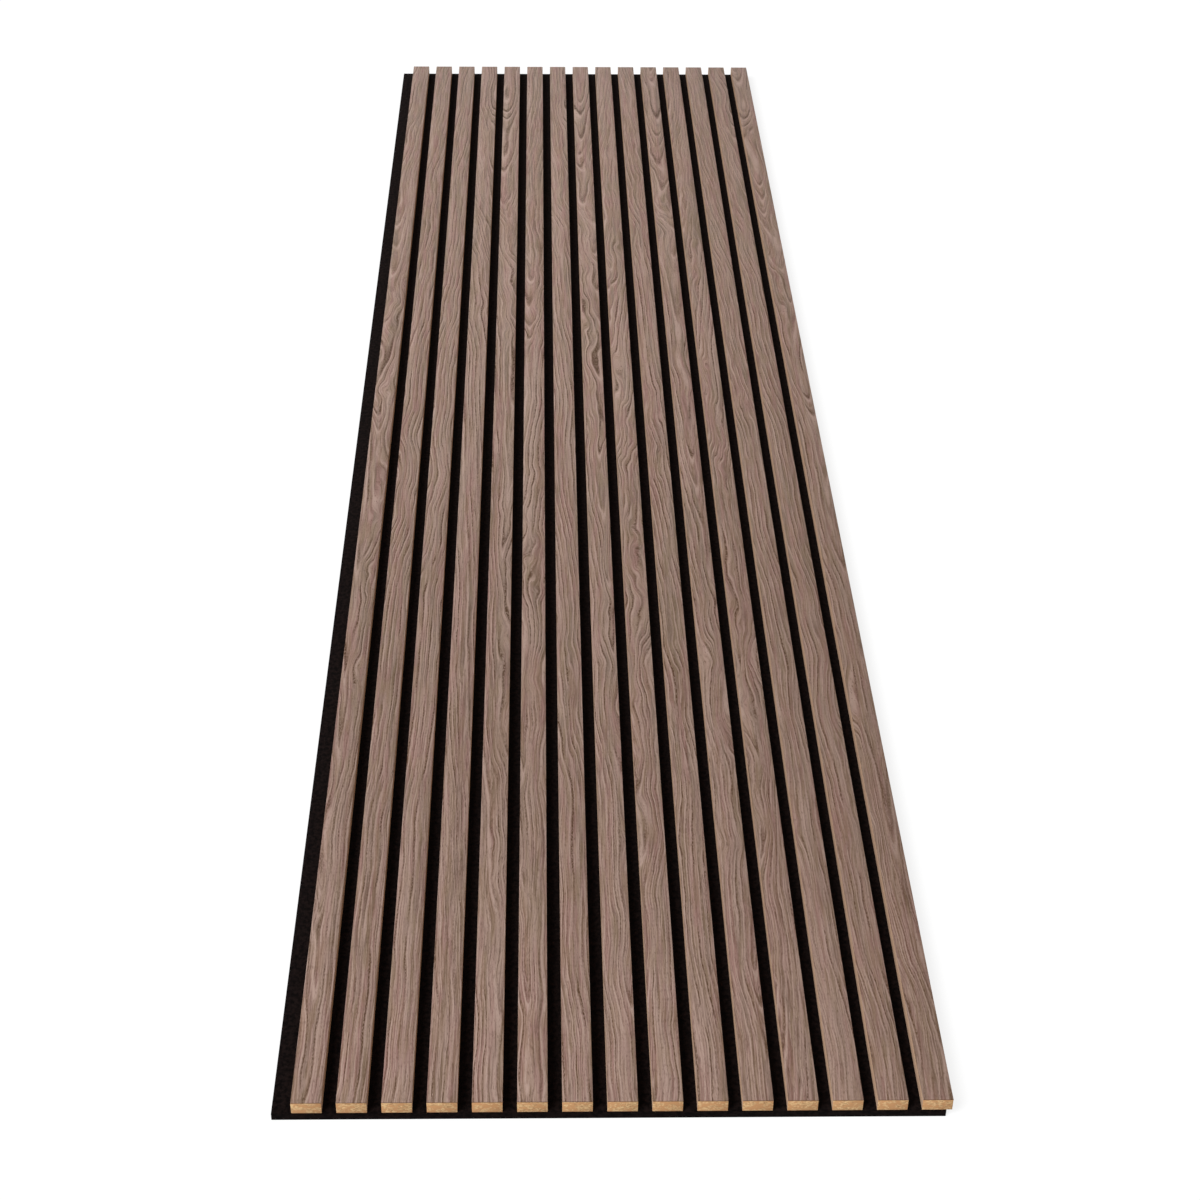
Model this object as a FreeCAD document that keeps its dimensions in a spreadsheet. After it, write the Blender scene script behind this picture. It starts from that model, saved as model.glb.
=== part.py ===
# Acoustic slat wall panel, lying on its back: a board of pressed felt, veneered slats laid side by side on it,
# and the wire staples that hold each slat from behind. Lengths are in millimetres.
# X runs across the slats, Y along them and Z out of the panel's face. The origin is the middle of the felt's back.

import FreeCAD
import Part
import os
import Sketcher

# Driving dimensions: name, value and meaning.
SIZES = (
    ("panel_length", 2400.0, "length of the felt and of each slat"),
    ("slat_count", 15, "slats side by side"),
    ("slat_width", 27.0, "width of a slat"),
    ("slat_gap", 13.0, "gap between two slats, also across the joint to the next panel"),
    ("side_overhang", 5.0, "how far the last slat stands out past the felt's right edge"),
    ("felt_thickness", 9.0, "thickness of the felt board"),
    ("felt_edge_radius", 0.8, "rounding that the knife leaves on the felt's edges"),
    ("core_thickness", 12.4, "thickness of a slat's fibreboard core"),
    ("veneer_thickness", 0.6, "thickness of the face veneer"),
    ("veneer_arris", 0.2, "sanded arris round the veneer's face"),
    ("staple_rows", 7, "staples along one slat"),
    ("staple_end_distance", 60.0, "from the panel's end to the first staple"),
    ("staple_crown", 12.8, "width of a staple over its legs"),
    ("staple_leg", 16.0, "length of a staple's leg with the crown"),
    ("staple_point", 0.8, "height of the chisel point at the leg's end"),
    ("staple_sink", 0.4, "depth of the crown below the felt's back"),
    ("wire_width", 0.95, "width of the staple's flat wire, along the slat"),
    ("wire_thickness", 0.65, "thickness of the staple's flat wire"),
)

# Places that follow from the driving dimensions, as expressions.
PITCH = "(sizes.slat_width + sizes.slat_gap)"
PANEL_WIDTH = f"(sizes.slat_count * {PITCH})"
TONGUE = "(sizes.slat_gap + sizes.side_overhang)"
FIRST_SLAT = f"({TONGUE} + sizes.slat_width / 2 - {PANEL_WIDTH} / 2)"
ALL_SLATS = f"((sizes.slat_count - 1) * {PITCH})"
# Staples stand in the middle of what the overhanging slat has under it, and alike on every other slat.
STAPLE_LINE = "(-sizes.side_overhang / 2)"
FIRST_STAPLE = f"({FIRST_SLAT} + {STAPLE_LINE})"
FIRST_ROW = "(sizes.panel_length / 2 - sizes.staple_end_distance)"
ALL_ROWS = "(sizes.panel_length - 2 * sizes.staple_end_distance)"
VENEER_HEIGHT = "(sizes.felt_thickness + sizes.core_thickness)"
CROWN_INSIDE = "(sizes.staple_sink + sizes.wire_thickness)"
LEG_TIP = "(sizes.staple_sink + sizes.staple_leg)"

# Sketcher's numbers for a line's two ends, the horizontal axis, the vertical axis and the origin.
START, END = 1, 2
H_AXIS, V_AXIS = -1, -2
ORIGIN = (H_AXIS, START)

doc = FreeCAD.newDocument("slat_wall_panel")


def make_sheet():
    """Puts the driving dimensions in a spreadsheet, one to a row, each under its own name."""
    sheet = doc.addObject("Spreadsheet::Sheet", "sizes")
    for row, (name, value, meaning) in enumerate(SIZES, start=1):
        sheet.set(f"A{row}", meaning)
        sheet.set(f"B{row}", str(value))
        sheet.setAlias(f"B{row}", name)
    doc.recompute()
    return sheet


sheet = make_sheet()


def make_body(label):
    """A new body that is one sub-part of the panel."""
    body = doc.addObject("PartDesign::Body", label)
    body.Label = label
    return body


def origin_feature(body, role):
    """The body's own axis or plane of that role."""
    return next(item for item in body.Origin.OriginFeatures if item.Role == role)


def make_sketch(body, name, plane, offsets=None):
    """A sketch on one of the body's planes, moved by expressions such as {"y": "-sizes.felt_thickness"}."""
    sketch = body.newObject("Sketcher::SketchObject", name)
    sketch.AttachmentSupport = [(origin_feature(body, plane), "")]
    sketch.MapMode = "FlatFace"
    for axis, expression in (offsets or {}).items():
        sketch.setExpression(f"AttachmentOffset.Base.{axis}", expression)
    return sketch


def add_outline(sketch, corners):
    """A closed outline of straight lines through the corners, joined end to end."""
    points = [FreeCAD.Vector(x, y, 0) for x, y in corners]
    for start, end in zip(points, points[1:] + points[:1]):
        sketch.addGeometry(Part.LineSegment(start, end), False)
    for line in range(len(points)):
        following = (line + 1) % len(points)
        sketch.addConstraint(Sketcher.Constraint("Coincident", line, END, following, START))


def bind(sketch, name, kind, expression, *where):
    """A named dimension of the sketch that follows an expression."""
    number = sketch.addConstraint(Sketcher.Constraint(kind, *where, 1.0))
    sketch.renameConstraint(number, name)
    sketch.setExpression(f"Constraints.{name}", expression)


def rectangle_sketch(body, name, plane, width, height):
    """A rectangle about the sketch's origin."""
    sketch = make_sketch(body, name, plane)
    add_outline(sketch, [(-1, -1), (1, -1), (1, 1), (-1, 1)])
    for bottom_or_top in (0, 2):
        sketch.addConstraint(Sketcher.Constraint("Horizontal", bottom_or_top))
    for side in (1, 3):
        sketch.addConstraint(Sketcher.Constraint("Vertical", side))
    sketch.addConstraint(Sketcher.Constraint("Symmetric", 0, START, 2, START, *ORIGIN))
    bind(sketch, "width", "DistanceX", width, 0, START, 0, END)
    bind(sketch, "height", "DistanceY", height, 1, START, 1, END)
    return sketch


def section_sketch(body, name, width, height):
    """A rectangle across the panel that stands on the sketch's horizontal axis, centred left to right."""
    sketch = make_sketch(body, name, "XZ_Plane")
    add_outline(sketch, [(-1, 0), (1, 0), (1, 1), (-1, 1)])
    sketch.addConstraint(Sketcher.Constraint("PointOnObject", 0, START, H_AXIS))
    sketch.addConstraint(Sketcher.Constraint("Symmetric", 0, START, 0, END, V_AXIS))
    sketch.addConstraint(Sketcher.Constraint("Horizontal", 2))
    for side in (1, 3):
        sketch.addConstraint(Sketcher.Constraint("Vertical", side))
    bind(sketch, "width", "DistanceX", width, 0, START, 0, END)
    bind(sketch, "height", "DistanceY", height, 1, START, 1, END)
    return sketch


def staple_sketch(body, name, crown_base=None, **offsets):
    """The outline of a staple seen along the slat, its crown down and its chisel points up.

    Heights are measured from the felt's back. The crown's outer face lies at the expression crown_base, or on
    the felt's back itself where none is given, as the mouth of the staple's slot does.
    """
    sketch = make_sketch(body, name, "XZ_Plane", offsets)
    crown, left_leg, right_leg = 6.0, -5.0, 5.0
    outline = [(-crown, 1), (crown, 1), (crown, 9), (right_leg, 8), (right_leg, 2)]
    outline += [(left_leg, 2), (left_leg, 8), (-crown, 9)]
    add_outline(sketch, outline)
    for right, left in ((1, 0), (2, 7), (3, 6), (4, 5)):
        sketch.addConstraint(Sketcher.Constraint("Symmetric", left, START, right, START, V_AXIS))
    for leg_side in (1, 3):
        sketch.addConstraint(Sketcher.Constraint("Vertical", leg_side))
    if crown_base:
        bind(sketch, "crown_base", "DistanceY", crown_base, *ORIGIN, 0, START)
    else:
        sketch.addConstraint(Sketcher.Constraint("PointOnObject", 0, START, H_AXIS))
    bind(sketch, "crown_width", "DistanceX", "sizes.staple_crown", 0, START, 0, END)
    bind(sketch, "crown_inside", "DistanceY", CROWN_INSIDE, *ORIGIN, 4, START)
    bind(sketch, "leg_tip", "DistanceY", LEG_TIP, *ORIGIN, 2, START)
    bind(sketch, "wire", "DistanceX", "sizes.wire_thickness", 3, START, 2, START)
    bind(sketch, "point", "DistanceY", "sizes.staple_point", 3, START, 2, START)
    return sketch


def extrude(body, kind, name, sketch, length, both_ways=True):
    """A Pad or Pocket of the sketch, to both sides of it or to one."""
    feature = body.newObject(f"PartDesign::{kind}", name)
    feature.Profile = sketch
    feature.SideType = "Symmetric" if both_ways else "One side"
    feature.setExpression("Length", length)
    doc.recompute()
    body.Tip = feature
    return feature


def repeat(body, name, feature, across=False):
    """Repeats a feature in rows along the slat, and over all the slats where it goes across."""
    pattern = body.newObject("PartDesign::LinearPattern", name)
    pattern.Originals = [feature]
    pattern.Direction = (origin_feature(body, "Y_Axis"), [""])
    pattern.setExpression("Length", ALL_ROWS)
    pattern.setExpression("Occurrences", "sizes.staple_rows")
    if across:
        pattern.Direction2 = (origin_feature(body, "X_Axis"), [""])
        pattern.setExpression("Length2", ALL_SLATS)
        pattern.setExpression("Occurrences2", "sizes.slat_count")
    body.Tip = pattern
    doc.recompute()
    return pattern


def level_faces(feature, highest_only=False):
    """Names of the feature's level faces: both of them, or the highest alone."""
    named = [(f"Face{number}", face) for number, face in enumerate(feature.Shape.Faces, start=1)]
    level = [(face.CenterOfMass.z, name) for name, face in named if abs(face.normalAt(0, 0).z) > 0.99]
    return [max(level)[1]] if highest_only else [name for _, name in level]


def ease_edges(body, kind, name, feature, size_name, size, faces):
    """A Fillet or Chamfer along every edge of the named faces."""
    easing = body.newObject(f"PartDesign::{kind}", name)
    easing.Base = (feature, faces)
    easing.setExpression(size_name, size)
    body.Tip = easing
    doc.recompute()
    return easing


def place_on_slat(body, number, height):
    """Moves a sub-part of one slat to its place across the panel and to its height."""
    body.setExpression("Placement.Base.x", f"{FIRST_SLAT} + {number} * {PITCH}")
    body.setExpression("Placement.Base.z", height)


def make_felt():
    """The felt board, with a slot for each staple through it from the back."""
    body = make_body("felt_backing")
    outline = rectangle_sketch(body, "felt_outline", "XY_Plane", PANEL_WIDTH, "sizes.panel_length")
    board = extrude(body, "Pad", "felt_board", outline, "sizes.felt_thickness", both_ways=False)
    ease_edges(body, "Fillet", "felt_knife_edges", board, "Radius", "sizes.felt_edge_radius", level_faces(board))
    slot_outline = staple_sketch(body, "felt_slot_outline", x=FIRST_STAPLE, z=FIRST_ROW)
    slot = extrude(body, "Pocket", "felt_slot", slot_outline, "sizes.wire_width")
    repeat(body, "felt_slots", slot, across=True)
    return body


def make_core(number):
    """One slat's fibreboard core, with the holes that the staples' legs make in its underside."""
    body = make_body(f"slat_core_{number + 1:02d}")
    section = section_sketch(body, f"core_section_{number + 1:02d}", "sizes.slat_width", "sizes.core_thickness")
    extrude(body, "Pad", f"core_bar_{number + 1:02d}", section, "sizes.panel_length")
    hole_outline = staple_sketch(
        body, f"leg_outline_{number + 1:02d}", "sizes.staple_sink",
        x=STAPLE_LINE, y="-sizes.felt_thickness", z=FIRST_ROW,
    )
    holes = extrude(body, "Pocket", f"leg_holes_{number + 1:02d}", hole_outline, "sizes.wire_width")
    repeat(body, f"leg_hole_rows_{number + 1:02d}", holes)
    place_on_slat(body, number, "sizes.felt_thickness")
    return body


def make_veneer(number):
    """The veneer glued over one slat's face, its arrises sanded."""
    body = make_body(f"veneer_strip_{number + 1:02d}")
    section = section_sketch(body, f"veneer_section_{number + 1:02d}", "sizes.slat_width", "sizes.veneer_thickness")
    strip = extrude(body, "Pad", f"veneer_leaf_{number + 1:02d}", section, "sizes.panel_length")
    ease_edges(
        body, "Chamfer", f"veneer_arris_{number + 1:02d}", strip, "Size", "sizes.veneer_arris",
        level_faces(strip, highest_only=True),
    )
    place_on_slat(body, number, VENEER_HEIGHT)
    return body


def make_staples():
    """All the staples: flat wire bent to a U, driven through the felt into the slats."""
    body = make_body("staples")
    body.AllowCompound = True
    outline = staple_sketch(body, "staple_outline", "sizes.staple_sink", x=FIRST_STAPLE, z=FIRST_ROW)
    staple = extrude(body, "Pad", "staple", outline, "sizes.wire_width")
    repeat(body, "staple_grid", staple, across=True)
    return body


def check(bodies):
    """Stops the script where a feature failed or a sub-part has no sound shape."""
    doc.recompute()
    failed = [item.Name for item in doc.Objects if {"Invalid", "Error"} & set(item.State)]
    if failed:
        raise RuntimeError(f"these features failed: {failed}")
    for body in bodies:
        if body.Shape.isNull() or not body.Shape.isValid() or not body.Shape.Solids:
            raise RuntimeError(f"{body.Label} has no sound solid")


def export(bodies):
    """Writes each sub-part to its own STEP file, named after it."""
    os.makedirs("parts", exist_ok=True)
    for body in bodies:
        body.Shape.exportStep(os.path.join("parts", f"{body.Label}.step"))


slats = range(int(sheet.slat_count))
panel = [make_felt()]
panel += [make_core(number) for number in slats]
panel += [make_veneer(number) for number in slats]
panel += [make_staples()]
check(panel)
export(panel)
for piece in panel:
    print(piece.Label, len(piece.Shape.Solids), "solids", round(piece.Shape.Volume / 1000, 3), "cm3")
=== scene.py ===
# Looks of an acoustic slat wall panel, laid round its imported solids: a felt board with its loose fibres,
# sawn fibreboard slats, walnut veneer on their faces and the wire staples in the back. Lengths are in
# metres unless a name or comment says mm. X runs across the slats, Y along them and Z out of the face.
import math

import bmesh
import bpy
import numpy as np
from bpy.props import FloatProperty, FloatVectorProperty, IntProperty, PointerProperty
from mathutils import Matrix, Vector


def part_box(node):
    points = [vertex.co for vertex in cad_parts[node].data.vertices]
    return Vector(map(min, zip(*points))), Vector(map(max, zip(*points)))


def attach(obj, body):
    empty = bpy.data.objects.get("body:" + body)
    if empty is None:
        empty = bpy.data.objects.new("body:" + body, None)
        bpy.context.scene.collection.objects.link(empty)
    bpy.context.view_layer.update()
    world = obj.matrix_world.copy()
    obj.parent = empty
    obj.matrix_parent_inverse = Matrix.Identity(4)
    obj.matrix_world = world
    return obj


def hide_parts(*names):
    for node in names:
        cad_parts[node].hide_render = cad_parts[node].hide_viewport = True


bl_info = {
    "name": "Acoustic Slat Wall Panel",
    "version": (1, 0, 0),
    "blender": (4, 5, 0),
    "location": "View3D > Sidebar > Slat Panel",
    "description": "Veneered slats on a felt board, with the fibres, grain and staples of the real panel",
    "category": "Object",
}

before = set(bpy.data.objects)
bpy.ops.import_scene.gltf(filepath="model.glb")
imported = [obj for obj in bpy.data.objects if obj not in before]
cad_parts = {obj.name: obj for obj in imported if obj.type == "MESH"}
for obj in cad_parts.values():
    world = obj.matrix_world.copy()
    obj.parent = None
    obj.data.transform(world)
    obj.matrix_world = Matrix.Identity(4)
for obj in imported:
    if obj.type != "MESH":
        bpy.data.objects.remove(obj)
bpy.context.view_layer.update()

MM = 0.001
CORES = sorted(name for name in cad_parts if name.startswith("slat_core_"))
VENEERS = sorted(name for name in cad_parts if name.startswith("veneer_strip_"))
FELT_LOW, FELT_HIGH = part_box("felt_backing")
STAPLES_LOW, STAPLES_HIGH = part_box("staples")
FIRST_CORE_LOW, FIRST_CORE_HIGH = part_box(CORES[0])
VENEER_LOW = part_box(VENEERS[0])[0]
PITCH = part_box(CORES[1])[0].x - FIRST_CORE_LOW.x
SLAT_WIDTH = FIRST_CORE_HIGH.x - FIRST_CORE_LOW.x
FIRST_MIDDLE = (FIRST_CORE_LOW.x + FIRST_CORE_HIGH.x) / 2
LENGTH = FELT_HIGH.y - FELT_LOW.y
# The length of a staple's crown: the box of all staples is one pitch wider for each slat after the first.
CROWN = STAPLES_HIGH.x - STAPLES_LOW.x - (len(CORES) - 1) * PITCH

# The parts that a bar is divided in along it, so that no face is a long sliver.
STRETCHES = 8
# How far a cutter stands out of the face that it cuts.
OVERCUT = 0.0002
# The edges of a bar's glued face lie further from its middle than this share of its thickness.
NEARLY_HALF = 0.49
EASING_SEGMENTS = 2
SMOOTH_BELOW = math.radians(35)
# Where the felt's grid has lines round a crown, as shares of the dimple's reach.
DIMPLE_STEPS = (0.0, 0.3, 0.6, 1.0)
# Places in metres are rounded to a micron, so that lines at the same place become one.
MICRON_DIGITS = 6
# Where the felt's rounded edge and the bends of a staple have their lines, as angles from the face.
ROUNDING_ANGLES = tuple(math.radians(angle) for angle in (30, 60, 90))
BEND_ANGLES = tuple(math.radians(angle) for angle in (0, 45, 90))
FIBRE_SIDES, FIBRE_STRETCHES = 3, 4

# Seeds, which keep the random choices apart.
TURN_SEED, TILT_SEED, LENGTH_SEED, BOW_SEED = 1, 2, 3, 4
VENEER_SEED, BOLD_SEED, CORE_SEED, FINE_SEED = 3.0, 11.0, 21.0, 47.0
# A noise strays from 0.5 by about a third at the furthest, which this brings to about 1.
NOISE_SPREAD = 3.0
SLATS_IN_A_LEAF = 3
FINE_LINES_IN_A_RING = 2.15
# Sizes of the patterns in mm. Down to the bands they are across the leaf, along it and from leaf to leaf,
# but the ring spacing's first is out from the heart. From the flecks on they are along X, Y and Z.
GRAIN = {
    "heart": (1.0, 330.0, 9.0),
    "heart_depth": (1.0, 190.0, 9.0),
    "taper": (1.0, 120.0, 9.0),
    "ring_spacing": (13.0, 3.0, 1.0),
    "liveliness": (34.0, 420.0, 12.0),
    "waves": (42.0, 100.0, 12.0),
    "ripples": (14.0, 34.0, 12.0),
    "tremble": (7.0, 22.0, 9.0),
    "bold_fading": (10.0, 80.0, 9.0),
    "fine_fading": (13.0, 130.0, 7.0),
    "breaks": (0.9, 3.4, 9.0),
    "streaks": (1.2, 60.0, 9.0),
    "pores": (0.2, 5.5, 9.0),
    "pore_clusters": (1.5, 9.0, 9.0),
    "tone": (9.0, 150.0, 9.0),
    "tint": (6.0, 45.0, 9.0),
    "bands": (9.0, 360.0, 11.0),
    "flecks": (2.2, 2.2, 0.8),
    "patches": (4.2, 7.0, 2.4),
    "dust": (0.3, 0.3, 0.2),
    "lumps": (4.5, 4.5, 3.0),
    "hairs": (0.28, 1.4, 0.3),
    "crossing_hairs": (1.5, 0.3, 0.4),
    "drawn_lines": (4.0, 0.12, 0.3),
    "dull_patches": (2.5, 2.5, 2.5),
}


def length_property(name, description, default):
    """A length in metres that a user may change."""
    return FloatProperty(
        name=name, description=description, default=default, min=0.0, precision=5, subtype="DISTANCE",
        unit="LENGTH",
    )


def number_property(name, description, default, **limits):
    """A plain number that a user may change, from 0 up unless a limit says otherwise."""
    return FloatProperty(name=name, description=description, default=default, **{"min": 0.0, **limits})


def angle_property(name, description, degrees):
    """An angle that a user may change."""
    default = math.radians(degrees)
    return FloatProperty(name=name, description=description, default=default, subtype="ANGLE")


def colour_property(name, description, default):
    """A colour that a user may change, as a linear value."""
    return FloatVectorProperty(
        name=name, description=description, default=default, subtype="COLOR", size=3, min=0.0, max=1.0
    )


class FeltLook(bpy.types.PropertyGroup):
    """The felt board and the loose fibres on it."""

    edge_radius: length_property("Edge rounding", "Rounding that the knife leaves on the edges", 0.0008)
    dimple_reach: length_property("Dimple", "How far the felt slopes in towards a staple's crown", 0.0022)
    relief: length_property("Relief", "Height of the matted surface", 0.0004)
    dark: colour_property("Dark", "Colour between the fibres", (0.0020, 0.0012, 0.0012))
    brown: colour_property("Brown", "Colour of the matted fibres", (0.0096, 0.0056, 0.0051))
    pale: colour_property("Pale", "Colour of the paler fibres on top", (0.022, 0.0155, 0.0148))
    fibre_radius: length_property("Fibre radius", "Half the thickness of a loose fibre", 0.00003)
    fibre_length: length_property("Fibre length", "Length of a loose fibre", 0.0032)
    fibre_density: number_property("Fibre density", "Loose fibres on a square metre of bare felt", 16000.0)
    seed: IntProperty(name="Seed", description="Chooses where the loose fibres lie", default=7, min=0)


class SlatLook(bpy.types.PropertyGroup):
    """The fibreboard bars under the veneer."""

    ease: length_property("Sawn arris", "Rounding of the bar's bare edges", 0.00015)
    relief: length_property("Relief", "Depth of the sawn surface", 0.00012)
    # The sawn sides' colour is darker than the bare board's own, as painted shade for the gaps between the
    # slats. The dust patches take it too.
    sawn: colour_property("Sawn side", "Colour of the dusty sawn sides", (0.54, 0.38, 0.28))
    pale: colour_property("Pale", "Colour of the pale flecks", (1.0, 0.68, 0.35))
    warm: colour_property("Warm", "Colour of the warmer patches", (0.74, 0.39, 0.18))
    dark: colour_property("Dark", "Colour of the dark flecks and the dense skin", (0.48, 0.24, 0.11))


class VeneerLook(bpy.types.PropertyGroup):
    """The walnut face of each slat and the figure in its wood."""

    arris: length_property("Sanded arris", "Rounding of the face's edges", 0.0002)
    relief: length_property("Relief", "Depth of the pores and of the ring lines", 0.00008)
    ring_width: number_property("Ring width", "Mean width of a growth ring, in mm", 5.6, min=0.1)
    leaf_shift: number_property("Leaf shift", "Depth of wood from one leaf to the next, in mm", 4.5)
    heart_depth: number_property("Heart depth", "How far the heart lies under the leaf, in mm", 12.0)
    wave: number_property("Wave", "How far the rings wave to each side, in mm", 10.5)
    line_contrast: number_property("Line contrast", "Strength of the dark ring lines", 1.0, max=1.0)
    glue: number_property("Glue", "Thickness of the dark glue line, in mm", 0.15)
    warm: colour_property("Warm", "Colour of the pinkish wood", (0.345, 0.193, 0.168))
    grey: colour_property("Grey", "Colour of the greyer wood", (0.277, 0.200, 0.155))
    pale: colour_property("Pale", "Colour of the palest streaks", (0.540, 0.382, 0.322))
    tan: colour_property("Tan", "Colour of the yellower patches", (0.293, 0.208, 0.113))
    dark: colour_property("Dark", "Colour of the ring lines and pores", (0.070, 0.030, 0.011))


class StapleLook(bpy.types.PropertyGroup):
    """The wire staples in the panel's back."""

    wire_width: length_property("Wire width", "Width of the flat wire, along the slat", 0.00095)
    wire_thickness: length_property("Wire thickness", "Thickness of the flat wire", 0.00065)
    bend: length_property("Bend", "Radius of the bends, to the middle of the wire", 0.0007)
    point: length_property("Point", "Height of the chisel point at each leg's end", 0.0008)
    rows: IntProperty(name="Rows", description="Staples along one slat", default=7, min=2)
    relief: length_property("Relief", "Depth of the lines drawn in the wire", 0.00002)
    colour: colour_property("Zinc", "Colour of the clean zinc", (0.62, 0.63, 0.64))
    dull: colour_property("Dull zinc", "Colour where the zinc has dulled", (0.42, 0.43, 0.45))


class StageLook(bpy.types.PropertyGroup):
    """The floor, the light and the camera."""

    floor_size: length_property("Floor", "Width of the floor", 40.0)
    floor_colour: colour_property("Floor colour", "Colour of the floor's paint", (0.2, 0.2, 0.2))
    floor_lift: number_property("Floor lift", "Light that the floor adds to its look", 0.84)
    sky: number_property("Sky", "Strength of the light from all round", 0.28)
    sun: number_property("Sun", "Light that the sun adds to a face turned to it", 0.98)
    sun_size: angle_property("Sun size", "Angle over which the sun spreads", 30.0)
    sun_direction: FloatVectorProperty(
        name="Sun direction", description="Where the sun stands as seen from the panel",
        default=(-0.52, -0.46, 0.72), subtype="DIRECTION",
    )
    lens: number_property("Lens", "Focal length on a 36 mm frame", 66.60, unit="CAMERA")
    camera_shift: number_property("Shift", "Move of the view, as a share of its width", 0.015, min=-1.0)
    camera_place: FloatVectorProperty(
        name="Camera place", description="Where the camera stands", default=(-0.0617, -2.5462, 1.5162),
        subtype="TRANSLATION", unit="LENGTH",
    )
    camera_pitch: angle_property("Look down", "How far the camera looks down", 35.242)
    camera_turn: angle_property("Look right", "How far the camera looks right", 1.344)
    camera_roll: angle_property("Roll", "How far the camera leans left", 0.704)


class PanelLook(bpy.types.PropertyGroup):
    """Every size and colour of the panel that a user may change."""

    felt: PointerProperty(type=FeltLook)
    slat: PointerProperty(type=SlatLook)
    veneer: PointerProperty(type=VeneerLook)
    staple: PointerProperty(type=StapleLook)
    stage: PointerProperty(type=StageLook)


class Wiring:
    """Adds nodes to a tree. Every value is a number, a vector or the socket that it comes from."""

    def __init__(self, tree):
        """Keeps the tree that the nodes go into."""
        self.tree = tree

    def feed(self, socket, value):
        """Gives a socket its value."""
        if isinstance(value, bpy.types.NodeSocket):
            self.tree.links.new(value, socket)
        else:
            socket.default_value = value

    def add(self, kind, inputs=None, **settings):
        """A new node with its settings and its inputs, which are named or numbered."""
        node = self.tree.nodes.new(kind)
        for name, value in settings.items():
            setattr(node, name, value)
        for key, value in (inputs or {}).items():
            self.feed(node.inputs[key], value)
        return node

    def math(self, operation, *values, clamp=False):
        """The result of a Math node."""
        inputs = dict(enumerate(values))
        return self.add("ShaderNodeMath", inputs, operation=operation, use_clamp=clamp).outputs[0]

    def plus(self, total, *others):
        """The sum of the values."""
        for other in others:
            total = self.math("ADD", total, other)
        return total

    def minus(self, first, second):
        """The first value less the second."""
        return self.math("SUBTRACT", first, second)

    def times(self, product, *others):
        """The product of the values."""
        for other in others:
            product = self.math("MULTIPLY", product, other)
        return product

    def ramp(self, value, low, high, start=0.0, end=1.0):
        """A smooth step from start to end while the value goes from low to high."""
        inputs = {"Value": value, "From Min": low, "From Max": high, "To Min": start, "To Max": end}
        return self.add("ShaderNodeMapRange", inputs, interpolation_type="SMOOTHSTEP").outputs["Result"]

    def vector(self, x, y, z):
        """A vector of three values."""
        return self.add("ShaderNodeCombineXYZ", {0: x, 1: y, 2: z}).outputs[0]


def opaque(colour):
    """A colour with full alpha, as a colour socket takes it."""
    return (*colour, 1.0)


class PatternWiring(Wiring):
    """Wiring for a new material whose pattern lies fixed in the piece, in mm of the panel's own frame."""

    def __init__(self, name, **shader):
        """Makes the material and sets on its shader the values that are the same all over the surface."""
        self.material = bpy.data.materials.new(name)
        self.material.use_nodes = True
        super().__init__(self.material.node_tree)
        self.shader = self.tree.nodes["Principled BSDF"]
        for socket, value in shader.items():
            self.shader.inputs[socket.replace("_", " ")].default_value = value
        place = self.add("ShaderNodeTexCoord").outputs["Object"]
        in_mm = self.add("ShaderNodeVectorMath", {0: place, "Scale": 1 / MM}, operation="SCALE")
        self.place = in_mm.outputs[0]
        self.x, self.y, self.z = self.add("ShaderNodeSeparateXYZ", {0: self.place}).outputs

    def noise(self, place, grain, detail=0.0, roughness=0.5):
        """Smooth random values about 0.5, in the grain of that name."""
        shrunk = self.add("ShaderNodeVectorMath", {0: place, 1: GRAIN[grain]}, operation="DIVIDE")
        inputs = {"Vector": shrunk.outputs[0], "Scale": 1.0, "Detail": detail, "Roughness": roughness}
        return self.add("ShaderNodeTexNoise", inputs).outputs["Fac"]

    def wander(self, place, grain, reach):
        """A value that strays to both sides of 0, by up to about the reach."""
        return self.times(self.minus(self.noise(place, grain), 0.5), NOISE_SPREAD, reach)

    def random(self, number, seed):
        """A random value from 0 to 1 for each whole number."""
        inputs = {"W": self.plus(number, seed)}
        return self.add("ShaderNodeTexWhiteNoise", inputs, noise_dimensions="1D").outputs["Value"]

    def layered(self, ground, *layers):
        """The ground's colour with others laid over it, each given as its share and the colour."""
        for share, colour in layers:
            inputs = {0: share, 6: ground, 7: opaque(colour)}
            ground = self.add("ShaderNodeMix", inputs, data_type="RGBA").outputs[2]
        return ground

    def towards_end(self, outer, inner, start, end):
        """A smooth step from start to end while a slat's cut end comes from outer to inner mm away."""
        half_length = LENGTH / MM / 2
        from_middle = self.math("ABSOLUTE", self.y)
        return self.ramp(from_middle, half_length - outer, half_length - inner, start, end)

    def place_on_slat(self):
        """The number of the slat that a point lies on, and how many mm it lies from that slat's middle."""
        half_gap = (PITCH - SLAT_WIDTH) / 2
        from_start = self.minus(self.x, (FIRST_CORE_LOW.x - half_gap) / MM)
        slat = self.math("FLOOR", self.math("DIVIDE", from_start, PITCH / MM))
        return slat, self.minus(self.minus(from_start, self.times(slat, PITCH / MM)), PITCH / MM / 2)

    def finish(self, colour, height, relief, roughness=None):
        """Leads the pattern's colour, relief and roughness to the shader and returns the material."""
        self.feed(self.shader.inputs["Base Color"], colour)
        if roughness is not None:
            self.feed(self.shader.inputs["Roughness"], roughness)
        bump = self.add("ShaderNodeBump", {"Strength": 1.0, "Distance": relief, "Height": height})
        self.feed(self.shader.inputs["Normal"], bump.outputs[0])
        return self.material


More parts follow.
